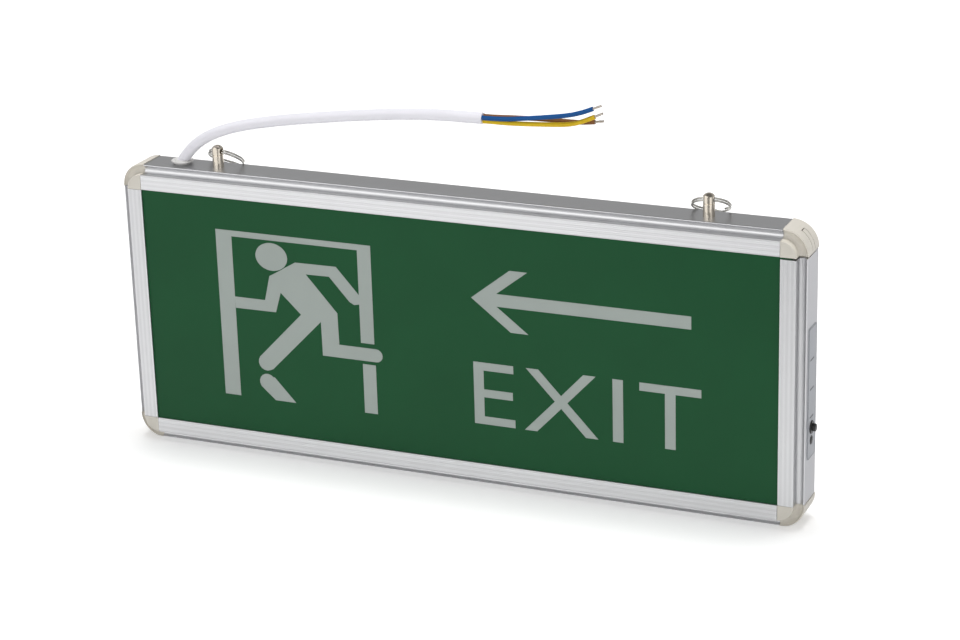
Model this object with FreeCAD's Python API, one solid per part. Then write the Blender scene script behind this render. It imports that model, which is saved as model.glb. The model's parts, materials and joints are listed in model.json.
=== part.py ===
import FreeCAD, Part
import math
import os
from FreeCAD import Placement, Rotation, Vector

# Slim emergency exit light: an aluminium profile frame with four moulded corners holds a printed
# front panel and a plain back panel, with the light guide, driver and battery between them.
# Millimetres. X runs along the sign, +Y to the back, +Z up. The origin is the middle of the
# underside, on which the sign can stand.

# ---- driving dimensions ---------------------------------------------------------------------
case_w = 352.0            # over the side rails
case_h = 145.0            # over the top and bottom rails
case_d = 25.0             # over the front and back lips
border = 11.8             # from the edge of the printed face to the outside of a rail
lip_w = 7.6               # flat lip round the printed face
lip_t = 1.0               # thickness of the lip
lip_round = 0.25          # rounding of the lip's two edges
wall = 1.1                # thickness of the rail's other walls
cove_start = 4.2          # how far back the wall beside the lip runs
cove_deep = 5.4           # deepest point of the cove
crest_back = 4.0          # how far the crest outside the cove lies behind the lip
crest_r = 0.5             # rounding of the crest
rib_count = 7             # fine grooves along the lip
rib_pitch = 0.92
rib_width = 0.34
rib_depth = 0.06
slot_rib_t = 1.0          # rib that closes the panel slot from behind
slot_rib_in = 1.6         # how far that rib stands back from the lip's edge
joint_gap = 0.15          # rail end to corner piece
loose_gap = 1.0           # the right rail sits this far below the top corner

panel_t = 2.0             # printed front panel and back panel
panel_grip = 5.0          # how far a panel reaches under the lip
panel_play = 0.05         # clearance on each side of a panel in its slot
guide_t = 2.3             # light guide plate
guide_grip = 6.3          # how far the light guide reaches under the lip
guide_relief = 2.1        # its top edge is lower along the row of LEDs
reflector_t = 0.5
reflector_grip = 4.1

corner_proud = 0.4        # a corner piece stands this far outside the rails
leg_play = 0.15           # clearance of a corner's leg in the rail's channel
leg_in_rail = 12.0
leg_in_corner = 4.5
leg_nose = 1.2            # chamfer at the end of a leg
tab_w = 3.4               # snap tab in the right-hand corners
tab_angle = 57.0
tab_slit = 0.45

post_inset = 49.4         # each hanger post from the rail's outer face
post_d = 5.5
post_h = 11.2
post_dome = 1.5           # height of the domed top
post_groove_z = 6.4
post_groove_w = 0.45
post_groove_t = 0.3
post_hole_z = 8.2         # cross hole for the ring
post_hole_d = 3.2
stud_d = 4.0              # threaded stud below the post
nut_af = 7.0
nut_t = 2.2
washer_d = 8.6
washer_t = 0.6
stud_play = 0.1

ring_r = 8.9              # middle of the ring's wire
wire_t = 0.96             # ring wire, two coils side by side
wire_w = 1.0
wire_edge = 0.26          # broken edges of the wire
ring_rest_gap = 0.3       # between a resting ring and the rail's back edge
ring_split = 0.5          # slit at each wire end
ring_split_at = 70.0      # where the first wire end is, round from the post
ring_split_lag = 24.0     # angle between the two wire ends
ring_turns = {"left": -6.0, "right": 10.0}    # how each post was turned when it was tightened

gland_inset = 29.4        # cable gland from the left rail's outer face
gland_base_d = 7.8
gland_lip_d = 11.2
gland_lip_z = 1.4
gland_top_z = 2.2
gland_top_d = 7.4
gland_neck_d = 7.0
gland_hole_play = 0.05
gland_inner_d = 11.0
gland_inner_t = 1.4

cable_d = 5.5
core_d = 2.2
bare_d = 1.2
bare_len = 4.6
tail_len = 24.0           # jacketed cable inside the case

label_w = 12.4            # side plate with the button and lamp
label_h = 64.6
label_rise = -7.2         # its middle from the side's middle
label_y = 0.6             # its middle from the side's middle
label_t = 0.35
label_round = 1.6

button_rise = -24.5       # test button's middle from the side's middle
button_d = 3.7
button_play = 0.08
button_out = 1.8          # how far the button stands out of its bezel
button_travel = 0.8
button_flange_d = 4.6
button_flange_t = 0.5
button_stem_d = 2.2
bezel_d = 6.4
bezel_t = 0.6
bezel_neck_d = 5.6
bezel_lip_t = 0.8
hole_play = 0.05
switch_w = 7.0
switch_len = 7.5
lamp_drop = 6.4           # lamp below the button
lamp_d = 3.0
lamp_out = 0.5
lamp_bezel_d = 4.4
lamp_len = 6.0

led_board_w = 6.0
led_board_t = 1.0
led_board_inset = 42.0    # LED board's ends from the outer faces
led_count = 18
led_size = (3.5, 2.8, 0.8)    # along the board, across it, height

board_w = 80.0            # driver board
board_h = 56.0
board_t = 1.6
board_inset = 24.0        # driver board's edges from the left and top outer faces
board_drop = 33.0
spacer_h = 2.6
spacer_d = 5.0
spacer_inset = 4.5
screw_d = 2.9
screw_head_d = 5.2
screw_head_t = 1.4
choke_size = (18.0, 9.4, 16.0)
cap_d = 8.0
cap_len = 13.0
cap_count = 2
block_size = (15.6, 9.6, 8.0)   # three-pole terminal block
block_poles = 3
cell_d = 14.2
cell_len = 49.5
cell_count = 3
cell_inset = 33.25        # battery pack's edge from the right outer face
cell_rise = 9.5           # battery pack's middle from the case's middle
cradle_t = 1.4
cradle_h = 8.0
cradle_play = 0.2
lead_d = 2.4
lead_lift = 0.2           # leads lie this far off the back panel
lead_gap = 1.0            # between a lead's end and what it goes to
lead_sag = 9.0            # how far a lead hangs below the straight line between its ends
led_lead_drop = 10.0      # LED lead's start below the driver board's top edge
led_lead_run = 19.0       # how far it runs along before it rises
switch_lead_drop = 20.0   # switch lead's start below the driver board's middle
switch_lead_run = 49.5    # its last straight run

# Route of the supply cable, from the middle of its gland on the top face, and of its three cores.
cable_route = [(-0.8, 0.0, 0.3), (3.6, 0.0, 6.4), (10.6, 0.0, 12.6), (20.0, 0.0, 17.7),
               (33.1, 0.0, 22.1), (54.1, 0.0, 26.5), (88.6, 0.0, 31.6), (120.6, 0.0, 35.4),
               (141.6, 0.0, 36.7), (162.4, 0.0, 36.7)]
core_routes = {
    "blue": [(162.4, -1.15, 37.3), (168.6, -1.15, 37.3), (177.6, -1.6, 38.0), (191.6, -1.9, 40.0),
             (205.1, -1.7, 42.0), (212.6, -1.4, 44.0), (217.8, -1.2, 46.2)],
    "brown": [(162.4, 1.1, 37.5), (167.6, 1.1, 37.5), (175.6, 1.5, 37.9), (190.6, 1.5, 38.4),
              (204.6, 1.8, 38.3), (212.1, 1.9, 38.3), (217.6, 1.7, 39.2)],
    "yellow_green": [(162.4, 0.0, 35.4), (168.1, 0.0, 35.4), (177.6, -0.5, 35.6), (191.6, -0.9, 36.5),
                     (205.1, -0.9, 37.4), (212.6, -1.2, 39.6), (218.6, -1.3, 42.5)],
}

# ---- values that follow from them -----------------------------------------------------------
face_w = case_w - 2 * border            # visible printed face
face_h = case_h - 2 * border
front_y = -case_d / 2
top_z = case_h
mid_z = case_h / 2
shoulder = cove_deep + wall + 0.1       # depth at which a rail's channel opens out
slot_back = lip_t + panel_t + 2 * panel_play
channel_u = lip_w - wall                # wall beside the lip, inside
web_u = border - wall                   # inside of a rail's web
guide_front = slot_back + slot_rib_t + panel_play
reflector_back = guide_front + guide_t + reflector_t
back_in_y = -front_y - lip_t - panel_play - panel_t     # inner face of the back panel
edge_y = case_d / 2 - crest_back - crest_r              # back edge of the flat top face
web_z = top_z - wall
right_x = case_w / 2
post_x = right_x - post_inset
gland_x = gland_inset - right_x
led_board_len = case_w - 2 * led_board_inset
board_x = board_inset + board_w / 2 - right_x
board_z = top_z - board_drop - board_h / 2
cell_x = right_x - cell_inset - cell_len / 2
cell_z = mid_z + cell_rise
button_z = mid_z + button_rise
label_z = mid_z + label_rise
parts = {}


def box(x0, x1, y0, y1, z0, z1):
    return Part.makeBox(x1 - x0, y1 - y0, z1 - z0, Vector(x0, y0, z0))


def rod(start, axis, dia, length):
    return Part.makeCylinder(dia / 2, length, Vector(*start), Vector(*axis))


def turned(profile, start, axis):
    """Solid of revolution from (radius, height) points about an axis through start."""
    points = [Vector(r, 0, h) for r, h in profile]
    face = Part.Face(Part.makePolygon(points + points[:1]))
    solid = face.revolve(Vector(0, 0, 0), Vector(0, 0, 1), 360)
    solid.Placement = Placement(Vector(*start), Rotation(Vector(0, 0, 1), Vector(*axis)))
    return solid


def outline(items):
    """Edges through the given points; an item (middle, end) is an arc from the point before it."""
    edges, last = [], Vector(*items[0], 0)
    for item in items[1:]:
        if isinstance(item[0], tuple):
            middle, end = Vector(*item[0], 0), Vector(*item[1], 0)
            edges.append(Part.Arc(last, middle, end).toShape())
        else:
            end = Vector(*item, 0)
            edges.append(Part.LineSegment(last, end).toShape())
        last = end
    return edges


def quarter(cx, cy, r, angle):
    """Middle point of an arc of radius r, seen from its centre at an angle."""
    a = math.radians(angle)
    return (cx + r * math.cos(a), cy + r * math.sin(a))


def rail_face(moulded=False):
    """Cross-section of a rail: X is outwards from the printed face's edge, Y is back from the lip.
    A moulded corner has no slot rib and no grooves, a thicker outer wall and plain broken edges."""
    proud = corner_proud if moulded else 0.0
    r = 0.0 if moulded else lip_round
    out = border + proud
    half = case_d / 2
    line = [(web_u, half), (web_u, shoulder), (channel_u, shoulder)]
    if not moulded:
        line += [(channel_u, slot_back + slot_rib_t), (slot_rib_in, slot_back + slot_rib_t),
                 (slot_rib_in, slot_back), (channel_u, slot_back)]
    line += [(channel_u, lip_t), (0, lip_t)]
    if moulded:
        line += [(0, 0)]
    else:
        line += [(0, r), (quarter(r, r, r, 225), (r, 0))]
        first = lip_w / 2 - rib_pitch * (rib_count - 1) / 2
        for i in range(rib_count):
            u = first + i * rib_pitch
            line += [(u - rib_width / 2, 0), (u, rib_depth), (u + rib_width / 2, 0)]
    crest_u = out - crest_r
    lip_end, crest_end = (lip_w, lip_round), (out, crest_back + crest_r)
    if not moulded:
        lip_end = (quarter(lip_w - lip_round, lip_round, lip_round, 315), lip_end)
        crest_end = (quarter(crest_u, crest_back + crest_r, crest_r, 315), crest_end)
    line += [(lip_w - lip_round, 0), lip_end, (lip_w, cove_start)]
    line += [((lip_w + 0.45 * (crest_u - lip_w), cove_deep), (crest_u, crest_back)), crest_end]
    line += [(out, half)]
    front = Part.Wire(outline(line))
    back = front.mirror(Vector(0, half, 0), Vector(0, 1, 0))
    return Part.Face(Part.Wire(Part.__sortEdges__(front.Edges + back.Edges)))


def turn_to(side):
    """Placement of a local frame (X outwards, Z along the rail) for side 0 right, 1 top, 2 left, 3 bottom."""
    place_x = [face_w / 2, 0, -face_w / 2, 0][side]
    place_z = [0, face_h / 2, 0, -face_h / 2][side]
    return Placement(Vector(place_x, front_y, mid_z + place_z), Rotation(Vector(0, 1, 0), -90 * side))


def rail(side, low_gap, high_gap):
    length = face_h if side % 2 == 0 else face_w
    solid = rail_face().extrude(Vector(0, 0, length - low_gap - high_gap))
    solid.Placement = turn_to(side).multiply(Placement(Vector(0, 0, low_gap - length / 2), Rotation()))
    return solid


def moulded_corner(side, with_tab):
    """Corner after rail `side`, going from that rail towards the next one. Below, it is cut flush
    with the bottom rail, so that the sign stands flat."""
    start = Vector(0, 0, 0)
    solid = rail_face(moulded=True).revolve(start, Vector(0, 1, 0), -90)
    leg_u0, leg_u1 = channel_u + leg_play, web_u - leg_play
    leg = box(leg_u0, leg_u1, shoulder + leg_play, case_d - shoulder - leg_play, -leg_in_rail, leg_in_corner)
    nose = [e for e in leg.Edges if all(abs(v.Z + leg_in_rail) < 0.01 for v in e.Vertexes)]
    leg = leg.makeChamfer(leg_nose, nose)
    other = leg.mirror(start, Vector(1, 0, -1))
    solid = solid.fuse([leg, other]).removeSplitter()
    if with_tab:
        for cut in snap_tab_slits():
            solid = solid.cut(cut)
    along = face_h / 2 if side % 2 == 0 else face_w / 2
    solid.Placement = turn_to(side).multiply(Placement(Vector(0, 0, along), Rotation()))
    return solid.cut(box(-case_w, case_w, -case_d, case_d, -2 * corner_proud, 0))


def snap_tab_slits():
    """Two slits along the corner's outer band and one across their end leave a spring tab."""
    r0, r1 = web_u - 0.2, border + corner_proud + 0.2
    mid = case_d / 2
    angle0 = 4.0

    def swept(v0, v1, a0, a1):
        face = Part.Face(Part.makePolygon([Vector(r0, v0, 0), Vector(r1, v0, 0), Vector(r1, v1, 0),
                                           Vector(r0, v1, 0), Vector(r0, v0, 0)]))
        face.rotate(Vector(0, 0, 0), Vector(0, 1, 0), -a0)
        return face.revolve(Vector(0, 0, 0), Vector(0, 1, 0), a0 - a1)
    across = math.degrees(tab_slit / border)
    yield swept(mid - tab_w / 2 - tab_slit, mid - tab_w / 2, angle0, tab_angle)
    yield swept(mid + tab_w / 2, mid + tab_w / 2 + tab_slit, angle0, tab_angle)
    yield swept(mid - tab_w / 2 - tab_slit, mid + tab_w / 2 + tab_slit, tab_angle - across, tab_angle)


def plate(grip, depth, thickness):
    """Plate that reaches `grip` under the lips, its corners rounded about the face's corners."""
    w, h = face_w / 2 + grip, face_h / 2 + grip
    y = front_y + depth
    solid = box(-w, w, y, y + thickness, mid_z - h, mid_z + h)
    upright = [e for e in solid.Edges if abs(e.Length - thickness) < 0.001]
    return solid.makeFillet(grip, upright)


def tube(name, route, dia):
    """Round cord along straight runs joined by tangent arcs, as large as the runs allow."""
    points = [Vector(*p) for p in route]
    edges, radii, last = [], [], points[0]
    for before, here, after in zip(points, points[1:], points[2:]):
        d0, d1 = here - before, after - here
        half_turn = d0.getAngle(d1) / 2
        cut = 0.45 * min(d0.Length, d1.Length)
        radii.append(cut / math.tan(half_turn))
        a, b = here - d0.normalize() * cut, here + d1.normalize() * cut
        to_centre = (d1 - d0).normalize()
        middle = here + to_centre * (radii[-1] / math.cos(half_turn) - radii[-1])
        edges += [Part.LineSegment(last, a).toShape(), Part.Arc(a, middle, b).toShape()]
        last = b
    edges.append(Part.LineSegment(last, points[-1]).toShape())
    path = Part.Wire(edges)
    ring = Part.Wire(Part.makeCircle(dia / 2, points[0], points[1] - points[0]))
    solid = path.makePipeShell([ring], True, False)
    ratio = solid.Volume / (math.pi * dia ** 2 / 4 * path.Length)
    print("%s: length %.1f, smallest radius %.1f, volume ratio %.4f"
          % (name, path.Length, min(radii, default=0), ratio))
    return solid


# ---- frame ------------------------------------------------------------------------------------
def build_frame():
    top = rail(1, joint_gap, joint_gap)
    top = top.cut(rod((gland_x, 0, web_z - 1), (0, 0, 1), gland_neck_d + 2 * gland_hole_play, wall + 2))
    for side in (-1, 1):
        top = top.cut(rod((side * post_x, 0, web_z - 1), (0, 0, 1), stud_d + 2 * stud_play, wall + 2))
    right = rail(0, joint_gap, loose_gap)
    for z, dia in ((button_z, bezel_neck_d), (button_z - lamp_drop, lamp_d)):
        right = right.cut(rod((right_x - wall - 1, 0, z), (1, 0, 0), dia + 2 * hole_play, wall + 2))
    parts["top_rail"] = top
    parts["right_rail"] = right
    parts["left_rail"] = rail(2, joint_gap, joint_gap)
    parts["bottom_rail"] = rail(3, joint_gap, joint_gap)
    parts["corner_top_right"] = moulded_corner(0, True)
    parts["corner_top_left"] = moulded_corner(1, False)
    parts["corner_bottom_left"] = moulded_corner(2, False)
    parts["corner_bottom_right"] = moulded_corner(3, True)


# ---- panels and lighting ------------------------------------------------------------------------
def build_panels():
    parts["sign_panel"] = plate(panel_grip, lip_t + panel_play, panel_t)
    parts["back_panel"] = plate(panel_grip, case_d - lip_t - panel_play - panel_t, panel_t)
    led_top = mid_z + face_h / 2 + channel_u - led_board_t
    relief_z = mid_z + face_h / 2 + guide_grip - guide_relief
    guide = plate(guide_grip, guide_front, guide_t)
    y0 = front_y + guide_front
    guide = guide.cut(box(-led_board_len / 2 - 1, led_board_len / 2 + 1, y0 - 1, y0 + guide_t + 1,
                          relief_z, top_z))
    parts["light_guide"] = guide
    parts["reflector_sheet"] = plate(reflector_grip, guide_front + guide_t, reflector_t)
    parts["led_board"] = box(-led_board_len / 2, led_board_len / 2, y0, y0 + led_board_w,
                             led_top, led_top + led_board_t)
    pitch = led_board_len / led_count
    leds = []
    for i in range(led_count):
        x = -led_board_len / 2 + pitch * (i + 0.5)
        mid_y = y0 + guide_t / 2
        lens = box(x - led_size[0] / 2, x + led_size[0] / 2, mid_y - led_size[1] / 2 + 0.3,
                   mid_y + led_size[1] / 2 + 0.3, led_top - led_size[2], led_top)
        leds.append(lens)
    parts["led_chips"] = Part.makeCompound(leds)


# ---- driver board and battery -------------------------------------------------------------------
def build_driver():
    face_y = back_in_y - spacer_h                  # back of the board
    top_y = face_y - board_t                       # component side
    x0, x1 = board_x - board_w / 2, board_x + board_w / 2
    z0, z1 = board_z - board_h / 2, board_z + board_h / 2
    spots = [(x, z) for x in (x0 + spacer_inset, x1 - spacer_inset)
             for z in (z0 + spacer_inset, z1 - spacer_inset)]
    board = box(x0, x1, top_y, face_y, z0, z1)
    spacers, screws = [], []
    for x, z in spots:
        hole = rod((x, top_y - 1, z), (0, 1, 0), screw_d + 0.3, board_t + 2)
        board = board.cut(hole)
        spacer = rod((x, face_y, z), (0, 1, 0), spacer_d, spacer_h)
        spacers.append(spacer.cut(rod((x, face_y - 1, z), (0, 1, 0), screw_d + 0.3, spacer_h + 2)))
        shank = rod((x, top_y - 0.01, z), (0, 1, 0), screw_d, board_t + spacer_h)
        head = rod((x, top_y - screw_head_t, z), (0, 1, 0), screw_head_d, screw_head_t)
        screws.append(shank.fuse(head).removeSplitter())
    parts["driver_board"] = board
    parts["board_spacers"] = Part.makeCompound(spacers)
    parts["board_screws"] = Part.makeCompound(screws)

    cx, cy, cz = choke_size
    choke_x, choke_z = board_x - 4, board_z - 8
    core = box(choke_x - cx / 2, choke_x + cx / 2, top_y - cy, top_y, choke_z - cz / 2, choke_z + cz / 2)
    limb = 3.0
    window = box(choke_x - cx / 2 + limb, choke_x + cx / 2 - limb, top_y - cy - 1, top_y + 1,
                 choke_z - cz / 2 + limb, choke_z + cz / 2 - limb)
    bobbin = rod((choke_x, top_y - cy + 0.8, choke_z), (0, 1, 0), cz - 2 * limb, cy - 0.8)
    parts["transformer_core"] = core.cut(window)
    parts["transformer_coil"] = bobbin

    caps = []
    for i in range(cap_count):
        z = board_z - board_h / 2 + 8 + i * (cap_d + 2)
        cap = rod((board_x + 14, top_y - cap_d / 2, z), (1, 0, 0), cap_d, cap_len)
        caps.append(cap.makeChamfer(0.4, [e for e in cap.Edges if e.Closed]))
    parts["driver_capacitors"] = Part.makeCompound(caps)

    bx, by, bz = block_size
    block_x0 = x0 + 2 * spacer_inset + 1
    block = box(block_x0, block_x0 + bx, top_y - by, top_y, z1 - bz, z1)
    pole = bx / block_poles
    for i in range(block_poles):
        mid = block_x0 + pole * (i + 0.5)
        block = block.cut(rod((mid, top_y - by + 4.5, z1 - 5), (0, 0, 1), 3.0, 6))
        block = block.cut(rod((mid, top_y - by - 1, z1 - bz / 2), (0, 1, 0), 3.0, 2.5))
    parts["terminal_block"] = block


def build_battery():
    pitch = cell_d
    cy = back_in_y - cell_d / 2
    x0, x1 = cell_x - cell_len / 2, cell_x + cell_len / 2
    low = cell_z - pitch * (cell_count - 1) / 2
    high = cell_z + pitch * (cell_count - 1) / 2
    pack = box(x0, x1, cy - cell_d / 4, cy + cell_d / 4, low, high)
    for i in range(cell_count):
        pack = pack.fuse(rod((x0, cy, low + i * pitch), (1, 0, 0), cell_d, cell_len))
    parts["battery_pack"] = pack.removeSplitter()
    room = cell_d / 2 + cradle_play
    z0, z1 = low - room, high + room
    outer = box(x0 - cradle_play - cradle_t, x1 + cradle_play + cradle_t, back_in_y - cradle_h, back_in_y,
                z0 - cradle_t, z1 + cradle_t)
    inner = box(x0 - cradle_play, x1 + cradle_play, back_in_y - cradle_h - 1, back_in_y + 1, z0, z1)
    parts["battery_cradle"] = outer.cut(inner)


# ---- test button, lamp and side plate ------------------------------------------------------------
def build_side_controls():
    lamp_z = button_z - lamp_drop
    face_x = right_x + label_t
    plate_solid = box(right_x, face_x, label_y - label_w / 2, label_y + label_w / 2,
                      label_z - label_h / 2, label_z + label_h / 2)
    ends = [e for e in plate_solid.Edges if abs(e.Length - label_t) < 0.001]
    plate_solid = plate_solid.makeFillet(label_round, ends)
    for z, dia in ((button_z, bezel_neck_d), (lamp_z, lamp_d)):
        plate_solid = plate_solid.cut(rod((right_x - 1, 0, z), (1, 0, 0), dia + 2 * hole_play, label_t + 2))
    parts["side_plate"] = plate_solid

    web_x = right_x - wall                          # inside of the right rail's web
    bore = button_d / 2 + button_play
    room = button_flange_d / 2 + button_play
    front = face_x + bezel_t
    step = front - bezel_lip_t
    parts["button_bezel"] = turned(
        [(bore, step), (bore, front), (bezel_d / 2 - 0.3, front), (bezel_d / 2, front - 0.3),
         (bezel_d / 2, face_x), (bezel_neck_d / 2, face_x), (bezel_neck_d / 2, web_x),
         (room, web_x), (room, step)], (0, 0, button_z), (1, 0, 0))
    tip = front + button_out
    flange = step - 0.05
    stem_end = web_x - 1.8
    parts["test_button"] = turned(
        [(0, stem_end), (button_stem_d / 2, stem_end), (button_stem_d / 2, flange - button_flange_t),
         (button_flange_d / 2, flange - button_flange_t), (button_flange_d / 2, flange),
         (button_d / 2, flange), (button_d / 2, tip - 0.5), (button_d / 2 - 0.15, tip - 0.15),
         (button_d / 2 - 0.5, tip), (0, tip)], (0, 0, button_z), (1, 0, 0))
    body = box(web_x - switch_len, web_x, -switch_w / 2, switch_w / 2,
               button_z - switch_w / 2, button_z + switch_w / 2)
    well_d = button_stem_d + 4 * button_play
    well = rod((stem_end - button_travel - 0.3, 0, button_z), (1, 0, 0), well_d, 10)
    guide = rod((web_x - 0.5, 0, button_z), (1, 0, 0), button_flange_d + 2 * button_play, 1)
    parts["switch_body"] = body.cut(well).cut(guide)

    r = lamp_d / 2
    parts["status_lamp"] = turned(
        [(0, web_x - lamp_len), (r + 0.4, web_x - lamp_len), (r + 0.4, web_x), (r, web_x),
         (r, face_x + 0.2), (r - 0.25, face_x + lamp_out), (0, face_x + lamp_out + 0.15)],
        (0, 0, lamp_z), (1, 0, 0))
    parts["lamp_bezel"] = turned(
        [(r + hole_play, face_x), (r + hole_play, face_x + 0.3), (lamp_bezel_d / 2 - 0.2, face_x + 0.3),
         (lamp_bezel_d / 2, face_x)], (0, 0, lamp_z), (1, 0, 0))


# ---- hanging hardware ------------------------------------------------------------------------------
def ring_rest_angle(turn):
    """Angle below the horizontal at which a ring lies on the back edge of the flat top face."""
    outer = ring_r + wire_t / 2
    reach = outer * math.sin(abs(math.radians(turn))) + edge_y * math.cos(math.radians(turn))
    under = wire_w + ring_rest_gap
    return math.degrees(math.atan2(post_hole_z, reach) - math.asin(under / math.hypot(reach, post_hole_z)))


def split_ring():
    """Two coils of rolled wire about the local Z axis, each open at its own wire end."""
    r, w, e = wire_t / 2, wire_w, wire_edge
    slit = math.degrees(ring_split / ring_r)
    coils = []
    for lag, side in ((0.0, 1), (ring_split_lag, -1)):
        section = [(-r + e, 0), (r - e, 0), (r, e * side), (r, (w - e) * side), (r - e, w * side),
                   (-r + e, w * side), (-r, (w - e) * side), (-r, e * side)]
        points = [Vector(ring_r + u, 0, v) for u, v in section]
        face = Part.Face(Part.makePolygon(points + points[:1]))
        coil = face.revolve(Vector(0, 0, 0), Vector(0, 0, 1), 360 - slit)
        coil.rotate(Vector(0, 0, 0), Vector(0, 0, 1), ring_split_at + lag + slit / 2)
        coils.append(coil)
    return coils[0].fuse(coils[1])


def build_hanger(side, x):
    turn = ring_turns[side]
    r = post_d / 2
    stud_end = -(wall + washer_t + nut_t + 0.1)
    dome_r = (r * r + post_dome * post_dome) / (2 * post_dome)
    g0, g1 = post_groove_z - post_groove_w / 2, post_groove_z + post_groove_w / 2
    half = outline([(0, stud_end), (stud_d / 2, stud_end), (stud_d / 2, 0), (r, 0), (r, g0),
                    (r - post_groove_t, g0), (r - post_groove_t, g1), (r, g1), (r, post_h - post_dome),
                    (quarter(0, post_h - dome_r, dome_r, 50), (0, post_h)), (0, stud_end)])
    post = Part.Face(Part.Wire(half)).revolve(Vector(0, 0, 0), Vector(0, 1, 0), 360)
    post.rotate(Vector(0, 0, 0), Vector(1, 0, 0), 90)
    hole = rod((-post_d, 0, post_hole_z), (1, 0, 0), post_hole_d, 2 * post_d)
    post = post.cut(hole)
    post.rotate(Vector(0, 0, 0), Vector(0, 0, 1), turn)
    post.translate(Vector(x, 0, top_z))
    parts["%s_post" % side] = post

    under = web_z - washer_t
    washer = rod((x, 0, under), (0, 0, 1), washer_d, washer_t)
    parts["%s_post_washer" % side] = washer.cut(rod((x, 0, under - 1), (0, 0, 1), stud_d + 2 * stud_play, 3))
    corner = nut_af / 2 / math.cos(math.pi / 6)
    hexagon = Part.makePolygon([Vector(corner * math.cos(math.radians(60 * i)),
                                       corner * math.sin(math.radians(60 * i)), 0) for i in range(7)])
    nut = Part.Face(hexagon).extrude(Vector(0, 0, nut_t))
    nut.translate(Vector(x, 0, under - nut_t))
    parts["%s_post_nut" % side] = nut.cut(rod((x, 0, under - nut_t - 1), (0, 0, 1), stud_d + 0.02, nut_t + 2))

    lean = ring_rest_angle(turn)
    ring = split_ring()
    ring.translate(Vector(0, ring_r, 0))
    ring.rotate(Vector(0, 0, 0), Vector(1, 0, 0), -lean)
    ring.rotate(Vector(0, 0, 0), Vector(0, 0, 1), turn)
    ring.translate(Vector(x, 0, top_z + post_hole_z))
    parts["%s_ring" % side] = ring
    print("%s ring leans %.2f degrees" % (side, lean))


# ---- cable, its gland and the leads inside ------------------------------------------------------------
def from_gland(route):
    return [(gland_x + x, y, top_z + z) for x, y, z in route]


def build_cable():
    neck = gland_neck_d / 2
    parts["cable_gland"] = turned(
        [(cable_d / 2, -wall - gland_inner_t), (gland_inner_d / 2 - 0.5, -wall - gland_inner_t),
         (gland_inner_d / 2, -wall), (neck, -wall), (neck, 0), (gland_base_d / 2, 0),
         (gland_lip_d / 2, gland_lip_z), (gland_lip_d / 2 - 0.1, gland_lip_z + 0.4),
         (gland_lip_d / 2 - 0.6, gland_lip_z + 0.6), (gland_top_d / 2 + 0.4, gland_top_z - 0.5),
         (gland_top_d / 2 - 0.1, gland_top_z), (cable_d / 2, gland_top_z)],
        (gland_x, 0, top_z), (0, 0, 1))
    parts["cable_jacket"] = tube("cable_jacket", from_gland(cable_route), cable_d)
    for colour, points in core_routes.items():
        route = from_gland(points)
        parts["core_" + colour] = tube("core_" + colour, route, core_d)
        end, before = Vector(*route[-1]), Vector(*route[-2])
        parts["bare_end_" + colour] = rod(route[-1], end - before, bare_d, bare_len)
    tail_top = web_z - 0.2
    parts["cable_tail"] = rod((gland_x, 0, tail_top - tail_len), (0, 0, 1), cable_d, tail_len)


def build_leads():
    """Leads lie on the back panel, from the driver board to the LEDs, the battery and the switch."""
    y = back_in_y - lead_d / 2 - lead_lift
    x_board = board_x + board_w / 2 + lead_gap
    x_cell = cell_x - cell_len / 2 - cradle_play - cradle_t - lead_gap
    middle = (x_board + x_cell) / 2
    parts["battery_lead"] = tube("battery_lead", [
        (x_board, y, board_z), (middle, y, board_z - lead_sag), (x_cell, y, cell_z)], lead_d)
    z_start = board_z - switch_lead_drop
    below = button_z + lead_sag
    x_switch = right_x - wall - switch_len - lead_gap
    parts["switch_lead"] = tube("switch_lead", [
        (x_board, y, z_start), (middle, y, below), (x_switch - switch_lead_run, y, button_z),
        (x_switch, 0, button_z)], lead_d)
    z_top = web_z - led_board_t - lead_gap - lead_d / 2
    z_led = board_z + board_h / 2 - led_lead_drop
    parts["led_lead"] = tube("led_lead", [
        (x_board, y, z_led), (x_board + led_lead_run, y, z_led),
        (x_board + led_lead_run + lead_sag, y - lead_sag, z_top)], lead_d)


def main():
    os.makedirs("parts", exist_ok=True)
    build_frame()
    build_panels()
    build_driver()
    build_battery()
    build_side_controls()
    build_hanger("left", -post_x)
    build_hanger("right", post_x)
    build_cable()
    build_leads()
    for name, shape in parts.items():
        if not shape.isValid() or shape.Volume <= 0:
            print("bad solid", name, shape.Volume)
        shape.exportStep("parts/%s.step" % name)
    print(len(parts), "nodes")


main()
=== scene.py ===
import json
import math
import random
import bpy
from mathutils import Matrix, Vector


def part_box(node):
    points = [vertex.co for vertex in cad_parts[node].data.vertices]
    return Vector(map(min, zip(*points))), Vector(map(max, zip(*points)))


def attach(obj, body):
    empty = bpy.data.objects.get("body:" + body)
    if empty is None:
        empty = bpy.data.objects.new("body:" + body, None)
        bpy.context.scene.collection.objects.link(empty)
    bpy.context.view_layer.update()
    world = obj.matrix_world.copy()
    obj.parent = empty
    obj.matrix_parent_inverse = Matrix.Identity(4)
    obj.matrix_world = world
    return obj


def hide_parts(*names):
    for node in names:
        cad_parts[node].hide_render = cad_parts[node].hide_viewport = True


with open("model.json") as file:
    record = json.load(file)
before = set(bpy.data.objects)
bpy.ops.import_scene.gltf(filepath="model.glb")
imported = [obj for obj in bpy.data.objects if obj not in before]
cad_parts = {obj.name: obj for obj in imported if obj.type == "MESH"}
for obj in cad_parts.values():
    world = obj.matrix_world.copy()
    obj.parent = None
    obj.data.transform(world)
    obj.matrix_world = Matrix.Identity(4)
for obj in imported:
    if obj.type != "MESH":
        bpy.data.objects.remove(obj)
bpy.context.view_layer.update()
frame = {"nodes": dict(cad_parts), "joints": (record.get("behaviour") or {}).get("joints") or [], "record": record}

mm = 0.001
scene = bpy.context.scene
nodes = frame["nodes"]
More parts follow.
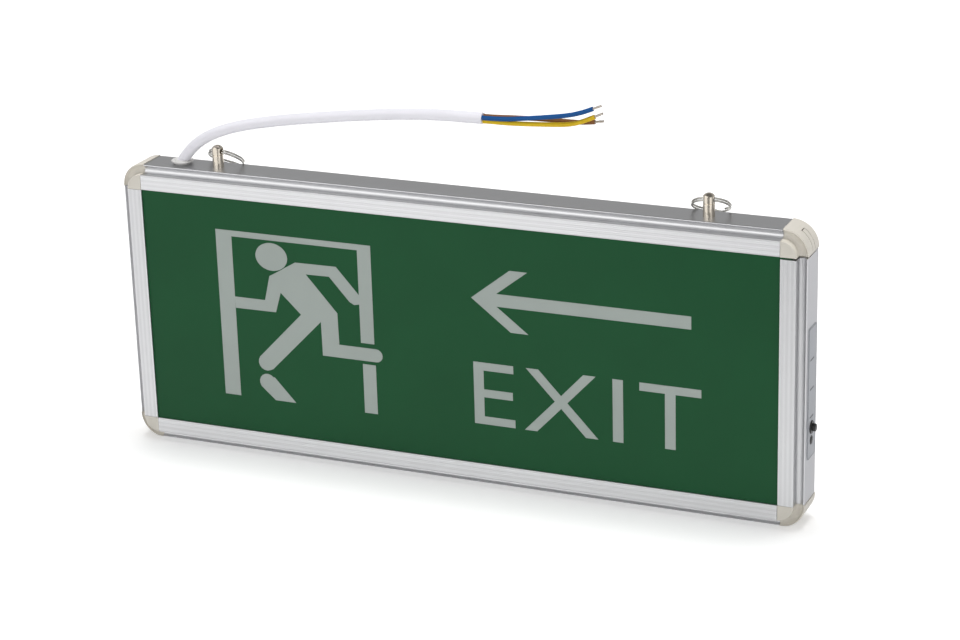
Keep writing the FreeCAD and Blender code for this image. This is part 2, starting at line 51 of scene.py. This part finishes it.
random.seed(7)      # the bare strands fray the same way each run
print("frame loaded:", len(nodes), "nodes")


def deselectAll():
    for item in bpy.context.selected_objects:
        item.select_set(False)


def makeActive(obj):
    deselectAll()
    obj.select_set(True)
    bpy.context.view_layer.objects.active = obj


def placeInMesh(obj):
    makeActive(obj)
    bpy.ops.object.transform_apply(location=True, rotation=True, scale=True)


def toMesh(obj):
    makeActive(obj)
    bpy.ops.object.convert(target="MESH")
    return bpy.context.object


def inRadians(turn):
    return [math.radians(angle) for angle in turn]


def addPlane(name, size, place, turn=(0, 0, 0)):
    deselectAll()
    bpy.ops.mesh.primitive_plane_add(size=size, location=place, rotation=inRadians(turn))
    plane = bpy.context.object
    plane.name = name
    return plane


def finishPiece(obj, name, body, material, replaced=()):
    obj.name = name
    obj.data.name = name
    obj.data.materials.clear()
    obj.data.materials.append(material)
    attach(obj, body)
    if replaced:
        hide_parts(*replaced)
    return obj


def newMaterial(name):
    material = bpy.data.materials.new(name)
    material.use_nodes = True
    tree = material.node_tree
    return material, tree, tree.nodes["Principled BSDF"]


def addNode(tree, kind, **inputs):
    node = tree.nodes.new(kind)
    for key, value in inputs.items():
        node.inputs[key].default_value = value
    return node


def noiseAt(tree, scale, detail, stretch=(1, 1, 1)):
    place = tree.nodes.new("ShaderNodeTexCoord")
    turn = addNode(tree, "ShaderNodeMapping", Scale=stretch)
    noise = addNode(tree, "ShaderNodeTexNoise", Scale=scale, Detail=detail)
    tree.links.new(place.outputs["Object"], turn.inputs["Vector"])
    tree.links.new(turn.outputs["Vector"], noise.inputs["Vector"])
    return noise


def ramp(tree, source, low, high, dark, light):
    node = tree.nodes.new("ShaderNodeValToRGB")
    node.color_ramp.elements[0].position = low
    node.color_ramp.elements[0].color = (*dark, 1)
    node.color_ramp.elements[1].position = high
    node.color_ramp.elements[1].color = (*light, 1)
    tree.links.new(source, node.inputs["Fac"])
    return node


def rangeOf(tree, source, low, high):
    node = tree.nodes.new("ShaderNodeMapRange")
    node.inputs["To Min"].default_value = low
    node.inputs["To Max"].default_value = high
    tree.links.new(source, node.inputs["Value"])
    return node


def larger(tree, first, second):
    node = tree.nodes.new("ShaderNodeMath")
    node.operation = "MAXIMUM"
    tree.links.new(first, node.inputs[0])
    tree.links.new(second, node.inputs[1])
    return node


def bumpFrom(tree, shader, source, depth):
    bump = addNode(tree, "ShaderNodeBump", Strength=1.0, Distance=depth)
    tree.links.new(source, bump.inputs["Height"])
    tree.links.new(bump.outputs["Normal"], shader.inputs["Normal"])


def shade(colour, factor):
    return tuple(min(1.0, channel * factor) for channel in colour)


mouldedLook = {"fineDetail": 3, "cloudScale": 28, "cloudDetail": 2, "cloudLow": 0.3, "cloudHigh": 0.7,
               "uneven": 0.06}
metalLook = {"detail": 3, "low": 0.25, "high": 0.75, "smoother": 0.05, "rougher": 0.07}


def moulded(name, colour, roughness, grain=900, depth=0.00002, spread=0.05, specular=0.5):
    material, tree, shader = newMaterial(name)
    fine = noiseAt(tree, grain, mouldedLook["fineDetail"])
    cloud = noiseAt(tree, mouldedLook["cloudScale"], mouldedLook["cloudDetail"])
    tint = ramp(tree, cloud.outputs["Fac"], mouldedLook["cloudLow"], mouldedLook["cloudHigh"],
                shade(colour, 1 - spread), shade(colour, 1 + spread))
    tree.links.new(tint.outputs["Color"], shader.inputs["Base Color"])
    rough = rangeOf(tree, fine.outputs["Fac"], roughness - mouldedLook["uneven"],
                    roughness + mouldedLook["uneven"])
    tree.links.new(rough.outputs["Result"], shader.inputs["Roughness"])
    shader.inputs["Specular IOR Level"].default_value = specular
    bumpFrom(tree, shader, fine.outputs["Fac"], depth)
    return material


def metal(name, colour, roughness, stretch=(1, 1, 1), grain=600, depth=0.00001, spread=0.06):
    material, tree, shader = newMaterial(name)
    fine = noiseAt(tree, grain, metalLook["detail"], stretch)
    tint = ramp(tree, fine.outputs["Fac"], metalLook["low"], metalLook["high"],
                shade(colour, 1 - spread), shade(colour, 1 + spread))
    tree.links.new(tint.outputs["Color"], shader.inputs["Base Color"])
    rough = rangeOf(tree, fine.outputs["Fac"], roughness - metalLook["smoother"],
                    roughness + metalLook["rougher"])
    tree.links.new(rough.outputs["Result"], shader.inputs["Roughness"])
    shader.inputs["Metallic"].default_value = 1.0
    bumpFrom(tree, shader, fine.outputs["Fac"], depth)
    return material


waveRate = 20      # radians per unit of length in a wave texture of scale 1


def paintedRibShade(material, direction, period, depth):      # painted shade: darker bands along an extruded rail, standing in for the shade in its rib grooves
    tree = material.node_tree
    shader = tree.nodes["Principled BSDF"]
    place = tree.nodes.new("ShaderNodeTexCoord")
    wave = addNode(tree, "ShaderNodeTexWave", Scale=2 * math.pi / (waveRate * period), Distortion=0.0)
    wave.bands_direction = direction
    tree.links.new(place.outputs["Object"], wave.inputs["Vector"])
    ribShade = rangeOf(tree, wave.outputs["Fac"], 1 - depth, 1.0)
    tint = tree.nodes.new("ShaderNodeVectorMath")
    tint.operation = "SCALE"
    tree.links.new(shader.inputs["Base Color"].links[0].from_socket, tint.inputs[0])
    tree.links.new(ribShade.outputs["Result"], tint.inputs["Scale"])
    tree.links.new(tint.outputs["Vector"], shader.inputs["Base Color"])


colours = {
    "aluminium": (0.62, 0.622, 0.633), "corner": (0.68, 0.645, 0.575), "nickel": (0.68, 0.62, 0.53),
    "ring": (0.50, 0.49, 0.455), "steel": (0.62, 0.62, 0.60), "copper": (0.72, 0.36, 0.18),
    "green": (0.0053, 0.074, 0.0235), "print": (0.37, 0.415, 0.39), "greyPrint": (0.13, 0.135, 0.15),
    "backPanel": (0.74, 0.74, 0.72), "sidePlate": (0.40, 0.415, 0.445), "gland": (0.66, 0.655, 0.64),
    "black": (0.012, 0.012, 0.012), "lens": (0.035, 0.040, 0.038), "jacket": (0.86, 0.85, 0.905),
    "blue": (0.006, 0.080, 0.27), "brown": (0.22, 0.098, 0.035), "yellow_green": (0.72, 0.48, 0.012),
    "strands": (0.52, 0.47, 0.42), "redLead": (0.40, 0.02, 0.02), "driverBoard": (0.03, 0.12, 0.05),
    "ledBoard": (0.75, 0.75, 0.72), "phosphor": (0.80, 0.72, 0.30), "nylon": (0.78, 0.77, 0.72),
    "ferrite": (0.05, 0.05, 0.05), "capacitor": (0.02, 0.02, 0.05), "block": (0.05, 0.22, 0.08),
    "battery": (0.03, 0.14, 0.40), "cradle": (0.70, 0.70, 0.68), "film": (0.85, 0.85, 0.85),
}
rail = {"roughness": 0.38, "drawn": 0.004, "ribShadeEvery": 2.3 * mm, "ribShadeDepth": 0.10,
        "look": {"grain": 900, "depth": 0.0000015, "spread": 0.025}}
printLook = {"grain": 1100, "depth": 0.000002}

railAlongX = metal("anodised_along", colours["aluminium"], rail["roughness"], (rail["drawn"], 1, 1),
                   **rail["look"])
railAlongZ = metal("anodised_upright", colours["aluminium"], rail["roughness"], (1, 1, rail["drawn"]),
                   **rail["look"])
# painted shade of the rib grooves, as darker bands of base colour across the rails
paintedRibShade(railAlongX, "Z", rail["ribShadeEvery"], rail["ribShadeDepth"])
paintedRibShade(railAlongZ, "X", rail["ribShadeEvery"], rail["ribShadeDepth"])
cornerPlastic = moulded("corner_plastic", colours["corner"], 0.42, grain=1400, depth=0.000012, spread=0.03)
nickel = metal("nickel_plate", colours["nickel"], 0.15, (0.05, 0.05, 1), grain=2500, depth=0.000004,
               spread=0.05)
ringSteel = metal("ring_steel", colours["ring"], 0.11, grain=900, depth=0.000002, spread=0.05)
steel = metal("zinc_steel", colours["steel"], 0.34)
greenPanel = moulded("green_print", colours["green"], 0.34, spread=0.04, specular=0.17, **printLook)
whitePrint = moulded("pale_print", colours["print"], 0.40, spread=0.03, specular=0.25, **printLook)
glandPlastic = moulded("gland_plastic", colours["gland"], 0.40, grain=1200, depth=0.00001, spread=0.03)
jacketPlastic = moulded("cable_jacket", colours["jacket"], 0.36, grain=700, spread=0.02)
blackPlastic = moulded("black_plastic", colours["black"], 0.30, grain=1200, depth=0.00001, spread=0.2)

finishes = {
    "top_rail": railAlongX, "bottom_rail": railAlongX, "left_rail": railAlongZ, "right_rail": railAlongZ,
    "corner_top_right": cornerPlastic, "corner_top_left": cornerPlastic,
    "corner_bottom_left": cornerPlastic, "corner_bottom_right": cornerPlastic,
    "sign_panel": greenPanel,
    "back_panel": moulded("back_plastic", colours["backPanel"], 0.42, grain=1000, depth=0.000006, spread=0.02),
    "left_post": nickel, "right_post": nickel,
    "cable_gland": glandPlastic,
    "side_plate": moulded("side_plate", colours["sidePlate"], 0.42, grain=1200, depth=0.000006, spread=0.03),
    "button_bezel": blackPlastic, "test_button": blackPlastic, "lamp_bezel": blackPlastic,
    "switch_body": blackPlastic,
    "status_lamp": moulded("lamp_lens", colours["lens"], 0.15, depth=0.000004, spread=0.1),
    "driver_board": moulded("board_green", colours["driverBoard"], 0.35, grain=800),
    "led_board": moulded("board_white", colours["ledBoard"], 0.35, grain=800),
    "led_chips": moulded("led_phosphor", colours["phosphor"], 0.30),
    "board_spacers": moulded("nylon", colours["nylon"], 0.40),
    "transformer_core": moulded("ferrite", colours["ferrite"], 0.60),
    "transformer_coil": metal("coil_wire", colours["copper"], 0.34, (1, 30, 1), grain=300, depth=0.00002),
    "driver_capacitors": moulded("capacitor_sleeve", colours["capacitor"], 0.28),
    "terminal_block": moulded("block_plastic", colours["block"], 0.38),
    "battery_pack": moulded("battery_sleeve", colours["battery"], 0.25),
    "battery_cradle": moulded("cradle_plastic", colours["cradle"], 0.42),
    "reflector_sheet": moulded("white_film", colours["film"], 0.50),
    "cable_tail": jacketPlastic, "switch_lead": jacketPlastic, "led_lead": jacketPlastic,
    "battery_lead": moulded("lead_red", colours["redLead"], 0.38),
    "board_screws": steel, "left_post_washer": steel, "right_post_washer": steel,
    "left_post_nut": steel, "right_post_nut": steel,
}

guide = {"colour": (0.92, 0.96, 0.94, 1), "clear": 0.9, "grain": 500, "detail": 2,
         "smoothest": 0.05, "roughest": 0.15}
guideAcrylic, guideTree, guideShader = newMaterial("clear_acrylic")
guideShader.inputs["Base Color"].default_value = guide["colour"]
guideShader.inputs["Transmission Weight"].default_value = guide["clear"]
guideGrain = noiseAt(guideTree, guide["grain"], guide["detail"])
guideRough = rangeOf(guideTree, guideGrain.outputs["Fac"], guide["smoothest"], guide["roughest"])
guideTree.links.new(guideRough.outputs["Result"], guideShader.inputs["Roughness"])
finishes["light_guide"] = guideAcrylic

for name, material in finishes.items():
    nodes[name].data.materials.clear()
    nodes[name].data.materials.append(material)
print("materials on", len(finishes), "nodes")

ink = {"ahead": 0.03 * mm, "thick": 0.02 * mm}
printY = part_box("sign_panel")[0].y - ink["ahead"]


def arcPoints(cx, cz, radius, start, end, count=9):
    points = []
    for i in range(count):
        angle = math.radians(start + (end - start) * i / (count - 1))
        points.append((cx + radius * math.cos(angle), cz + radius * math.sin(angle)))
    return points


def inkShape(name, outlines, material, place, turn=(90, 0, 0)):
    curve = bpy.data.curves.new(name, "CURVE")
    curve.dimensions = "2D"
    curve.fill_mode = "BOTH"
    curve.extrude = ink["thick"] / 2
    for outline in outlines:
        spline = curve.splines.new("POLY")
        spline.points.add(len(outline) - 1)
        for point, (x, z) in zip(spline.points, outline):
            point.co = (x * mm, z * mm, 0, 1)
        spline.use_cyclic_u = True
    shape = bpy.data.objects.new(name, curve)
    scene.collection.objects.link(shape)
    shape = toMesh(shape)
    shape.rotation_euler = inRadians(turn)
    shape.location = place
    placeInMesh(shape)
    return finishPiece(shape, name, "case", material)


def facePrint(name, outlines):
    return inkShape(name, outlines, whitePrint, (0, printY, 0))


door = {
    "outerLeft": -124.2, "outerRight": -40.1, "top": 116.8, "barUnder": 113.8,
    "leftIn": -115.5, "leftFoot": 30.0, "rightIn": -47.3, "rightEnd": 66.3,
    "lowerLeft": -46.8, "lowerRight": -39.8, "lowerTop": 55.4, "lowerFoot": 29.8,
}
facePrint("door_frame_print", [
    [(door["outerLeft"], door["leftFoot"]), (door["leftIn"], door["leftFoot"]),
     (door["leftIn"], door["barUnder"]), (door["rightIn"], door["barUnder"]),
     (door["rightIn"], door["rightEnd"]), (door["outerRight"], door["rightEnd"]),
     (door["outerRight"], door["top"]), (door["outerLeft"], door["top"])],
    [(door["lowerLeft"], door["lowerFoot"]), (door["lowerRight"], door["lowerFoot"]),
     (door["lowerRight"], door["lowerTop"]), (door["lowerLeft"], door["lowerTop"])],
])

figure = {
    "headX": -94.0, "headZ": 105.4, "headRx": 8.7, "headRz": 7.15, "headStep": 10,
    "backFoot": (-39.3, 60.5, 3.4), "frontFootX": -99.9, "frontFootZ": 49.6, "frontFootR": 4.4,
    "shadowFootZ": 39.1,
    "frontArm": [(-87.1, 100.4), (-81.1, 103.9), (-59.1, 104.1), (-47.3, 90.9), (-47.3, 86.1),
                 (-50.0, 85.5), (-52.5, 86.8), (-63.0, 98.6), (-75.6, 98.4), (-59.4, 80.1), (-59.1, 63.9)],
    "thigh": [(-68.4, 57.1), (-68.6, 74.6), (-96.4, 46.4)],
    "backArm": [(-79.3, 77.1), (-89.9, 87.3), (-93.1, 76.8), (-115.4, 76.6), (-115.5, 82.5),
                (-98.8, 82.5), (-95.6, 95.4), (-89.8, 98.7)],
    "shadowLeg": [(-95.9, 29.9), (-84.6, 29.9), (-95.9, 42.1)],
}
headOutline = [(figure["headX"] + figure["headRx"] * math.cos(math.radians(angle)),
                figure["headZ"] + figure["headRz"] * math.sin(math.radians(angle)))
               for angle in range(0, 360, figure["headStep"])]
bodyOutline = (figure["frontArm"]
               + arcPoints(*figure["backFoot"], 90, -90)
               + figure["thigh"]
               + arcPoints(figure["frontFootX"], figure["frontFootZ"], figure["frontFootR"], -40, -220)[1:]
               + figure["backArm"])
shadowOutline = (arcPoints(figure["frontFootX"], figure["shadowFootZ"], figure["frontFootR"], 40, 215)
                 + figure["shadowLeg"])
facePrint("running_figure_print", [headOutline, bodyOutline, shadowOutline])

arrow = {"tip": 12.0, "end": 122.0, "middle": 96.5, "shaft": 3.2, "wing": 15.5,
         "wingFront": 32.0, "wingBack": 41.0, "neck": 25.0}
arrowHalf = [(arrow["wingFront"], arrow["wing"]), (arrow["wingBack"], arrow["wing"]),
             (arrow["neck"], arrow["shaft"]), (arrow["end"], arrow["shaft"])]
facePrint("arrow_print", [[(arrow["tip"], arrow["middle"])]
                          + [(x, arrow["middle"] + height) for x, height in arrowHalf]
                          + [(x, arrow["middle"] - height) for x, height in reversed(arrowHalf)]])

word = {"text": "EXIT", "left": 12.1, "right": 126.9, "foot": 32.3, "top": 64.1, "spacing": 1.12,
        "extrude": 0.001}
deselectAll()
bpy.ops.object.text_add()
wordPrint = bpy.context.object
wordPrint.data.body = word["text"]
wordPrint.data.space_character = word["spacing"]
wordPrint.data.extrude = word["extrude"]
wordPrint = toMesh(wordPrint)
low = [min(v.co[i] for v in wordPrint.data.vertices) for i in range(3)]
high = [max(v.co[i] for v in wordPrint.data.vertices) for i in range(3)]
scaleX = (word["right"] - word["left"]) * mm / (high[0] - low[0])
scaleZ = (word["top"] - word["foot"]) * mm / (high[1] - low[1])
wordPrint.scale = (scaleX, scaleZ, ink["thick"] / (high[2] - low[2]))
wordPrint.rotation_euler = (math.radians(90), 0, 0)
wordPrint.location = (word["left"] * mm - low[0] * scaleX, printY, word["foot"] * mm - low[1] * scaleZ)
placeInMesh(wordPrint)
finishPiece(wordPrint, "exit_word_print", "case", whitePrint)
print("print on the face")

plateLow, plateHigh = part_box("side_plate")
rows = {"edge": 0.25, "line": 0.3, "corner": 1.4, "heights": (53.4, 67.3, 81.7),
        "from": -3.2, "to": 2.6, "thick": 0.9}


def roundedOutline(inset, radius):      # the side plate's outline, drawn in by the inset
    left, right = plateLow.y / mm + inset, plateHigh.y / mm - inset
    foot, top = plateLow.z / mm + inset, plateHigh.z / mm - inset
    return (arcPoints(right - radius, top - radius, radius, 0, 90)
            + arcPoints(left + radius, top - radius, radius, 90, 180)
            + arcPoints(left + radius, foot + radius, radius, 180, 270)
            + arcPoints(right - radius, foot + radius, radius, 270, 360))


greyPrint = moulded("grey_print", colours["greyPrint"], 0.45, spread=0.03, **printLook)
rowOutlines = [roundedOutline(rows["edge"], rows["corner"]),
               roundedOutline(rows["edge"] + rows["line"], rows["corner"] - rows["line"])]
for middle in rows["heights"]:
    under, over = middle - rows["thick"] / 2, middle + rows["thick"] / 2
    rowOutlines.append([(rows["from"], under), (rows["to"], under), (rows["to"], over), (rows["from"], over)])
inkShape("side_plate_print", rowOutlines, greyPrint,
         (plateHigh.x + ink["thick"], 0, 0), (90, 0, 90))
print("print on the side plate")

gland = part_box("cable_gland")
glandX = (gland[0].x + gland[1].x) / 2 / mm
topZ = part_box("top_rail")[1].z / mm
cable = {
    "diameter": 5.5 * mm, "length": 0.1717,
    "route": [(-0.8, 0, 0.3), (3.6, 0, 6.4), (10.6, 0, 12.6), (20.0, 0, 17.7), (33.1, 0, 22.1),
              (54.1, 0, 26.5), (88.6, 0, 31.6), (120.6, 0, 35.4), (141.6, 0, 36.7), (162.4, 0, 36.7)],
}
cores = {
    "blue": {"length": 0.0564, "route": [
        (162.4, -1.15, 37.3), (168.6, -1.15, 37.3), (177.6, -1.6, 38.0), (191.6, -1.9, 40.0),
        (205.1, -1.7, 42.0), (212.6, -1.4, 44.0), (217.8, -1.2, 46.2)]},
    "brown": {"length": 0.0553, "route": [
        (162.4, 1.1, 37.5), (167.6, 1.1, 37.5), (175.6, 1.5, 37.9), (190.6, 1.5, 38.4),
        (204.6, 1.8, 38.3), (212.1, 1.9, 38.3), (217.6, 1.7, 39.2)]},
    "yellow_green": {"length": 0.0572, "route": [
        (162.4, 0, 35.4), (168.1, 0, 35.4), (177.6, -0.5, 35.6), (191.6, -0.9, 36.5),
        (205.1, -0.9, 37.4), (212.6, -1.2, 39.6), (218.6, -1.3, 42.5)]},
}
coreDiameter = 2.2 * mm
cordMesh = {"around": 6, "along": 12}


def fromGland(route):      # the routes are in mm from the middle of the gland on the top face
    return [Vector((glandX + x, y, topZ + z)) * mm for x, y, z in route]


def cordCurve(name, route, diameter):
    curve = bpy.data.curves.new(name, "CURVE")
    curve.dimensions = "3D"
    curve.bevel_depth = diameter / 2
    curve.bevel_resolution = cordMesh["around"]
    curve.use_fill_caps = True
    spline = curve.splines.new("NURBS")
    spline.points.add(len(route) - 1)
    for point, place in zip(spline.points, route):
        point.co = (*place, 1)
    spline.order_u = 3
    spline.use_endpoint_u = True
    spline.resolution_u = cordMesh["along"]
    obj = bpy.data.objects.new(name, curve)
    scene.collection.objects.link(obj)
    return obj


jacketRoute = fromGland(cable["route"])
jacket = cordCurve("supply_cable", jacketRoute, cable["diameter"])
finishPiece(jacket, "supply_cable", "case", jacketPlastic, ["cable_jacket"])

coreFinish = {colour: moulded("core_" + colour, colours[colour], 0.40, depth=0.00001, specular=0.2)
              for colour in cores}
strandMetal = metal("tinned_strands", colours["strands"], 0.36, grain=900, depth=0.000004)
bare = {"length": 4.6 * mm, "strand": 0.38 * mm, "spread": 0.36 * mm, "twist": 150, "count": 6,
        "steps": 5, "splay": 0.25, "uneven": 0.06, "around": 2}


def strandBundle(name, start, along):      # the last strand is straight and the others twist round it
    aside = along.orthogonal().normalized()
    pieces = []
    for i in range(bare["count"] + 1):
        route = []
        for step in range(bare["steps"] + 1):
            share = step / bare["steps"]
            out = 0 if i == bare["count"] else bare["spread"] * (1 + bare["splay"] * share * random.random())
            angle = math.radians(360 / bare["count"] * i + bare["twist"] * share)
            side = Matrix.Rotation(angle, 3, along) @ aside
            reach = bare["length"] * share * (1 - bare["uneven"] * random.random())
            route.append(start + along * reach + side * out)
        strand = cordCurve("%s_%d" % (name, i), route, bare["strand"])
        strand.data.bevel_resolution = bare["around"]
        pieces.append(toMesh(strand))
    deselectAll()
    for piece in pieces:
        piece.select_set(True)
    bpy.context.view_layer.objects.active = pieces[0]
    bpy.ops.object.join()
    return bpy.context.object


for colour, core in cores.items():
    route = fromGland(core["route"])
    along = (route[-1] - route[-2]).normalized()
    strands = strandBundle("strands_" + colour, route[-1], along)
    finishPiece(strands, "strands_" + colour, "case", strandMetal, ["bare_end_" + colour])
    wire = cordCurve("core_wire_" + colour, route, coreDiameter)
    finishPiece(wire, "core_wire_" + colour, "case", coreFinish[colour], ["core_" + colour])
print("cable and cores")

ring = {"radius": 8.92 * mm, "wire": 0.9 * mm, "apart": 0.64, "turns": 1.88, "cross": (0.90, 0.99),
        "start": 100, "stepsPerTurn": 30, "smooth": 4}
mounts = {mount["name"]: Vector(mount["pos_m"]) for mount in frame["record"]["mounts"]}
joints = {joint["name"]: joint for joint in frame["joints"]}


def splitRing(side):      # nearly two turns of wire, which steps over to the second near the end of the first
    hinge = Vector(joints[side + "_ring_swing"]["pos_m"])
    across = Vector(joints[side + "_ring_swing"]["axis"]).normalized()
    radial = (mounts[side + "_hanging_ring"] - hinge).normalized()
    normal = across.cross(radial)
    crossStart, crossEnd = ring["cross"]
    route = []
    for step in range(int(ring["turns"] * ring["stepsPerTurn"]) + 1):
        turns = step / ring["stepsPerTurn"]
        share = min(1, max(0, (turns - crossStart) / (crossEnd - crossStart)))
        angle = math.radians(ring["start"] + 360 * turns)
        offset = normal * ring["wire"] * ring["apart"] * (2 * share - 1)
        route.append(hinge + radial * ring["radius"] + offset
                     + (across * math.cos(angle) + radial * math.sin(angle)) * ring["radius"])
    wire = cordCurve(side + "_ring_wire", route, ring["wire"])
    wire.data.splines[0].resolution_u = ring["smooth"]
    return finishPiece(toMesh(wire), side + "_ring_wire", side + "_ring", ringSteel,
                       [side + "_ring"])


splitRing("left")
splitRing("right")
print("rings")

view = {"azimuth": 23.726, "elevation": 19.988, "roll": -1.687, "lens": 99.66, "sensor": 36,
        "place": (0.4936, -1.0975, 0.5171), "near": 0.05, "far": 60}
bpy.ops.object.camera_add()
camera = bpy.context.object
turn = (Matrix.Rotation(math.radians(view["azimuth"]), 4, "Z")
        @ Matrix.Rotation(math.radians(90 - view["elevation"]), 4, "X")
        @ Matrix.Rotation(math.radians(view["roll"]), 4, "Z"))
camera.matrix_world = Matrix.Translation(view["place"]) @ turn
camera.data.lens = view["lens"]
camera.data.sensor_width = view["sensor"]
camera.data.clip_start = view["near"]
camera.data.clip_end = view["far"]
scene.camera = camera

lamps = {
    "key_light": {"place": (-1.0, -3.2, 0.8), "aim": (0, 0, 0.07), "size": (2.6, 1.4), "power": 16},
    "fill_light": {"place": (2.4, -1.4, 1.3), "aim": (0, 0, 0.07), "size": (1.8, 1.4), "power": 10},
    "top_light": {"place": (0.0, 0.36, 2.9), "aim": (0, 0, 0.07), "size": (1.6, 0.9), "power": 60},
    "mirrored_light": {"place": (-0.45, -0.65, 0.75), "aim": (0, 0, 0.15), "size": (1.6, 0.9), "power": 4.6},
}


def softLight(name, place, aim, size, power):
    bpy.ops.object.light_add(type="AREA", location=place)
    lamp = bpy.context.object
    lamp.name = name
    lamp.data.shape = "RECTANGLE"
    lamp.data.size, lamp.data.size_y = size
    lamp.data.energy = power
    lamp.rotation_euler = (Vector(aim) - Vector(place)).to_track_quat("-Z", "Y").to_euler()
    return lamp


lights = {name: softLight(name, **lamp) for name, lamp in lamps.items()}
lights["top_light"].visible_glossy = False
lights["mirrored_light"].visible_diffuse = False      # it shows only as a reflection

studio = {"around": 0.50, "above": 0.175, "ceilingStart": 0.5, "ceilingEnd": 0.9}      # how bright the room is
world = bpy.data.worlds.new("studio")
scene.world = world
world.use_nodes = True
sky = world.node_tree
background = sky.nodes["Background"]
direction = sky.nodes.new("ShaderNodeTexCoord")
sides = sky.nodes.new("ShaderNodeSeparateXYZ")
sky.links.new(direction.outputs["Generated"], sides.inputs["Vector"])
ceiling = rangeOf(sky, sides.outputs["Z"], studio["around"], studio["above"])
ceiling.interpolation_type = "SMOOTHSTEP"
ceiling.inputs["From Min"].default_value = studio["ceilingStart"]
ceiling.inputs["From Max"].default_value = studio["ceilingEnd"]
sky.links.new(ceiling.outputs["Result"], background.inputs["Strength"])
background.inputs["Color"].default_value = (1, 1, 1, 1)

# the camera, mirrors and clear plastic also see a small share of a glow, and shadows stay visible in it
ground = {"size": 30, "height": -0.0002, "colour": (0.95, 0.95, 0.95, 1), "roughness": 0.8, "specular": 0.0,
          "glow": 4.0, "share": 0.08}
floor = addPlane("floor", ground["size"], (0, 0, ground["height"]))
floorMaterial, floorTree, floorShader = newMaterial("pale_floor")
floorShader.inputs["Base Color"].default_value = ground["colour"]
floorShader.inputs["Roughness"].default_value = ground["roughness"]
floorShader.inputs["Specular IOR Level"].default_value = ground["specular"]
glow = addNode(floorTree, "ShaderNodeEmission", Color=(1, 1, 1, 1), Strength=ground["glow"])
floorPath = floorTree.nodes.new("ShaderNodeLightPath")
passedOn = larger(floorTree, floorPath.outputs["Is Glossy Ray"], floorPath.outputs["Is Transmission Ray"])
seen = larger(floorTree, floorPath.outputs["Is Camera Ray"], passedOn.outputs["Value"])
glowShare = rangeOf(floorTree, seen.outputs["Value"], 0.0, ground["share"])
floorMix = floorTree.nodes.new("ShaderNodeMixShader")
floorTree.links.new(glowShare.outputs["Result"], floorMix.inputs["Fac"])
floorTree.links.new(floorShader.outputs["BSDF"], floorMix.inputs[1])
floorTree.links.new(glow.outputs["Emission"], floorMix.inputs[2])
floorTree.links.new(floorMix.outputs["Shader"], floorTree.nodes["Material Output"].inputs["Surface"])
floor.data.materials.append(floorMaterial)

cardRoughness = 0.8
cards = {      # they show only in reflections
    "dark_card": {"place": (0.17, -0.42, 0.06), "size": (0.40, 0.16), "turn": (75, 0, 14),
                  "colour": (0.02, 0.018, 0.015)},
    "grey_card": {"place": (0.29, 0.24, 0.001), "size": (0.30, 0.52), "turn": (0, 0, -23),
                  "colour": (0.74, 0.74, 0.76)},
}
for name, card in cards.items():
    panel = addPlane(name, 1, card["place"], card["turn"])
    panel.scale = (*card["size"], 1)
    placeInMesh(panel)
    panel.data.materials.append(moulded(name, card["colour"], cardRoughness))
    panel.visible_camera = False
    panel.visible_diffuse = False
    panel.visible_shadow = False
scene.view_settings.view_transform = "Standard"
print("camera, lights and floor")
